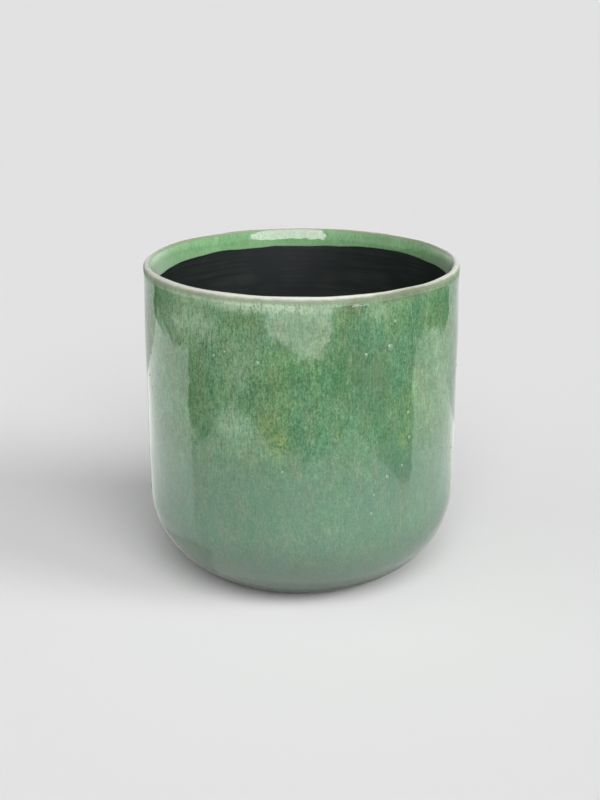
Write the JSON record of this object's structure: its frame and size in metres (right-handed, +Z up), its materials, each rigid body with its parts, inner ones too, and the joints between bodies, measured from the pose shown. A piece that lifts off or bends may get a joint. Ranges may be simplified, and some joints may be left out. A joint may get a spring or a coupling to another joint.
{
  "type": "cachepot",
  "caption": "Cylindrical glazed stoneware cachepot with a rounded base, green glaze over the lip and a dark sealed inside, for holding a potted plant.",
  "frame": {"origin": "on the axis of the pot, at the surface that it stands on", "axes": "+Z up along the axis of the pot, from the foot to the mouth; -Y towards the viewer of the picture, +X to the right"},
  "size_m": [0.24, 0.24, 0.245],
  "materials": {
    "clay": "unglazed, turned",
    "green_glaze": "glossy reactive glaze",
    "dark_coat": "matt brushed sealing slip",
    "felt": "pressed wool felt"
  },
  "bodies": {
    "root": {"clay_body": "clay", "outer_glaze": "green_glaze", "inner_coat": "dark_coat", "felt_pad_1": "felt", "felt_pad_2": "felt", "felt_pad_3": "felt", "felt_pad_4": "felt"}
  },
  "joints": []
}
